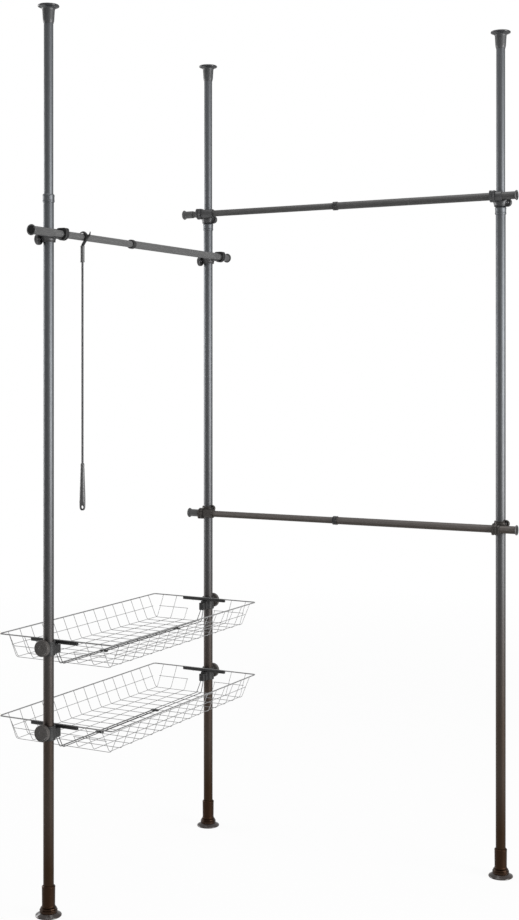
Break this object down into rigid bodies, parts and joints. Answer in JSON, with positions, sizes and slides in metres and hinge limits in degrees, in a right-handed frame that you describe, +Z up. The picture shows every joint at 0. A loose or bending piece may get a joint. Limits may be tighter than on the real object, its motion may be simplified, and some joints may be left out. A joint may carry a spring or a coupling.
{
  "type": "telescopic wardrobe system",
  "caption": "Corner wardrobe frame of floor-to-ceiling telescopic poles with telescopic clothes rails, clamped wire baskets and a long-handled hanger retriever.",
  "frame": {"origin": "on the floor under the axis of the corner pole, pole b", "axes": "+Z up along the corner pole, +X from the corner pole to pole c along the back rails, -Y from the corner pole to pole a along the side rail"},
  "size_m": [1.3782, 1.173, 2.75],
  "materials": {
    "pole_coat": "satin dark grey coat on steel tube",
    "side_rail_coat": "satin mid grey coat on steel tube",
    "back_rail_coat": "satin dark grey coat on steel tube",
    "black_plastic": "fine matte, near black",
    "grey_plastic": "fine matte, dark grey",
    "basket_wire": "satin grey coat on steel wire",
    "retriever_steel": "satin grey coat on steel rod"
  },
  "bodies": {
    "corner_frame": {"pole_a_foot_plate": "grey_plastic", "pole_a_foot_sleeve": "black_plastic", "pole_a_lower_tube": "pole_coat", "pole_b_foot_plate": "grey_plastic", "pole_b_foot_sleeve": "black_plastic", "pole_b_lower_tube": "pole_coat", "side_rail_bracket_a": "black_plastic", "side_rail_bracket_b": "black_plastic", "top_rail_bracket_b": "black_plastic", "middle_rail_bracket_b": "black_plastic", "side_rail_inner_tube": "side_rail_coat", "side_rail_inner_cap": "grey_plastic", "top_rail_inner_tube": "back_rail_coat", "top_rail_inner_cap": "grey_plastic", "middle_rail_inner_tube": "back_rail_coat", "middle_rail_inner_cap": "grey_plastic", "upper_basket_holder_a": "black_plastic", "upper_basket_support_a": "basket_wire", "upper_basket_holder_b": "black_plastic", "upper_basket_support_b": "basket_wire", "lower_basket_holder_a": "black_plastic", "lower_basket_support_a": "basket_wire", "lower_basket_holder_b": "black_plastic", "lower_basket_support_b": "basket_wire"},
    "end_bay": {"pole_c_foot_plate": "grey_plastic", "pole_c_foot_sleeve": "black_plastic", "pole_c_lower_tube": "pole_coat", "top_rail_bracket_c": "black_plastic", "middle_rail_bracket_c": "black_plastic", "top_rail_outer_tube": "back_rail_coat", "top_rail_outer_cap": "grey_plastic", "middle_rail_outer_tube": "back_rail_coat", "middle_rail_outer_cap": "grey_plastic"},
    "pole_a_top": {"pole_a_upper_tube": "pole_coat", "pole_a_ceiling_flange": "grey_plastic"},
    "pole_a_collar": {"pole_a_lock_collar": "pole_coat"},
    "pole_a_nut": {"pole_a_foot_nut": "grey_plastic"},
    "pole_b_top": {"pole_b_upper_tube": "pole_coat", "pole_b_ceiling_flange": "grey_plastic"},
    "pole_b_collar": {"pole_b_lock_collar": "pole_coat"},
    "pole_b_nut": {"pole_b_foot_nut": "grey_plastic"},
    "pole_c_top": {"pole_c_upper_tube": "pole_coat", "pole_c_ceiling_flange": "grey_plastic"},
    "pole_c_collar": {"pole_c_lock_collar": "pole_coat"},
    "pole_c_nut": {"pole_c_foot_nut": "grey_plastic"},
    "side_rail_outer": {"side_rail_outer_tube": "side_rail_coat", "side_rail_outer_cap": "grey_plastic"},
    "side_rail_collar": {"side_rail_lock_collar": "black_plastic"},
    "top_rail_collar": {"top_rail_lock_collar": "black_plastic"},
    "middle_rail_collar": {"middle_rail_lock_collar": "black_plastic"},
    "upper_basket_body": {"upper_basket": "basket_wire"},
    "upper_basket_knob_a_body": {"upper_basket_knob_a": "black_plastic"},
    "upper_basket_knob_b_body": {"upper_basket_knob_b": "black_plastic"},
    "lower_basket_body": {"lower_basket": "basket_wire"},
    "lower_basket_knob_a_body": {"lower_basket_knob_a": "black_plastic"},
    "lower_basket_knob_b_body": {"lower_basket_knob_b": "black_plastic"},
    "retriever": {"retriever_hook": "black_plastic", "retriever_ferrule": "grey_plastic", "retriever_shaft": "retriever_steel", "retriever_handle": "black_plastic"}
  },
  "joints": [
    {"name": "end_bay_slide", "type": "slide", "parent": "corner_frame", "child": "end_bay", "axis": [1, 0, 0], "range_m": [-0.3, 0.15]},
    {"name": "pole_a_extend", "type": "slide", "parent": "corner_frame", "child": "pole_a_top", "axis": [0, 0, 1], "range_m": [-0.45, 0.25]},
    {"name": "pole_a_collar_twist", "type": "hinge", "parent": "corner_frame", "child": "pole_a_collar", "pos_m": [0, -0.96, 2.1665], "axis": [0, 0, 1], "range_deg": [0, 120]},
    {"name": "pole_a_nut_turn", "type": "hinge", "parent": "corner_frame", "child": "pole_a_nut", "pos_m": [0, -0.96, 0.0188], "axis": [0, 0, 1], "range_deg": [-180, 180]},
    {"name": "pole_b_extend", "type": "slide", "parent": "corner_frame", "child": "pole_b_top", "axis": [0, 0, 1], "range_m": [-0.45, 0.25]},
    {"name": "pole_b_collar_twist", "type": "hinge", "parent": "corner_frame", "child": "pole_b_collar", "pos_m": [0, 0, 2.1665], "axis": [0, 0, 1], "range_deg": [0, 120]},
    {"name": "pole_b_nut_turn", "type": "hinge", "parent": "corner_frame", "child": "pole_b_nut", "pos_m": [0, 0, 0.0188], "axis": [0, 0, 1], "range_deg": [-180, 180]},
    {"name": "pole_c_extend", "type": "slide", "parent": "end_bay", "child": "pole_c_top", "axis": [0, 0, 1], "range_m": [-0.45, 0.25]},
    {"name": "pole_c_collar_twist", "type": "hinge", "parent": "end_bay", "child": "pole_c_collar", "pos_m": [1.1, 0, 2.1665], "axis": [0, 0, 1], "range_deg": [0, 120]},
    {"name": "pole_c_nut_turn", "type": "hinge", "parent": "end_bay", "child": "pole_c_nut", "pos_m": [1.1, 0, 0.0188], "axis": [0, 0, 1], "range_deg": [-180, 180]},
    {"name": "side_rail_extend", "type": "slide", "parent": "corner_frame", "child": "side_rail_outer", "axis": [0, 1, 0], "range_m": [-0.04, 0.2]},
    {"name": "side_rail_collar_twist", "type": "hinge", "parent": "side_rail_outer", "child": "side_rail_collar", "pos_m": [0.0326, -0.554, 2.0585], "axis": [0, 1, 0], "range_deg": [0, 120]},
    {"name": "top_rail_collar_twist", "type": "hinge", "parent": "end_bay", "child": "top_rail_collar", "pos_m": [0.523, -0.0326, 2.2103], "axis": [1, 0, 0], "range_deg": [0, 120]},
    {"name": "middle_rail_collar_twist", "type": "hinge", "parent": "end_bay", "child": "middle_rail_collar", "pos_m": [0.523, -0.0326, 1.133], "axis": [1, 0, 0], "range_deg": [0, 120]},
    {"name": "upper_basket_lift", "type": "slide", "parent": "corner_frame", "child": "upper_basket_body", "axis": [0, 0, 1], "range_m": [0, 0.12]},
    {"name": "upper_basket_knob_a_turn", "type": "hinge", "parent": "corner_frame", "child": "upper_basket_knob_a_body", "pos_m": [0, -0.9925, 0.812], "axis": [0, -1, 0], "range_deg": [0, 720]},
    {"name": "upper_basket_knob_b_turn", "type": "hinge", "parent": "corner_frame", "child": "upper_basket_knob_b_body", "pos_m": [0, 0.0325, 0.812], "axis": [0, 1, 0], "range_deg": [0, 720]},
    {"name": "lower_basket_lift", "type": "slide", "parent": "corner_frame", "child": "lower_basket_body", "axis": [0, 0, 1], "range_m": [0, 0.12]},
    {"name": "lower_basket_knob_a_turn", "type": "hinge", "parent": "corner_frame", "child": "lower_basket_knob_a_body", "pos_m": [0, -0.9925, 0.557], "axis": [0, -1, 0], "range_deg": [0, 720]},
    {"name": "lower_basket_knob_b_turn", "type": "hinge", "parent": "corner_frame", "child": "lower_basket_knob_b_body", "pos_m": [0, 0.0325, 0.557], "axis": [0, 1, 0], "range_deg": [0, 720]},
    {"name": "retriever_swing", "type": "hinge", "parent": "corner_frame", "child": "retriever", "pos_m": [0.0326, -0.83, 2.0585], "axis": [0, 1, 0], "range_deg": [-40, 40]}
  ]
}
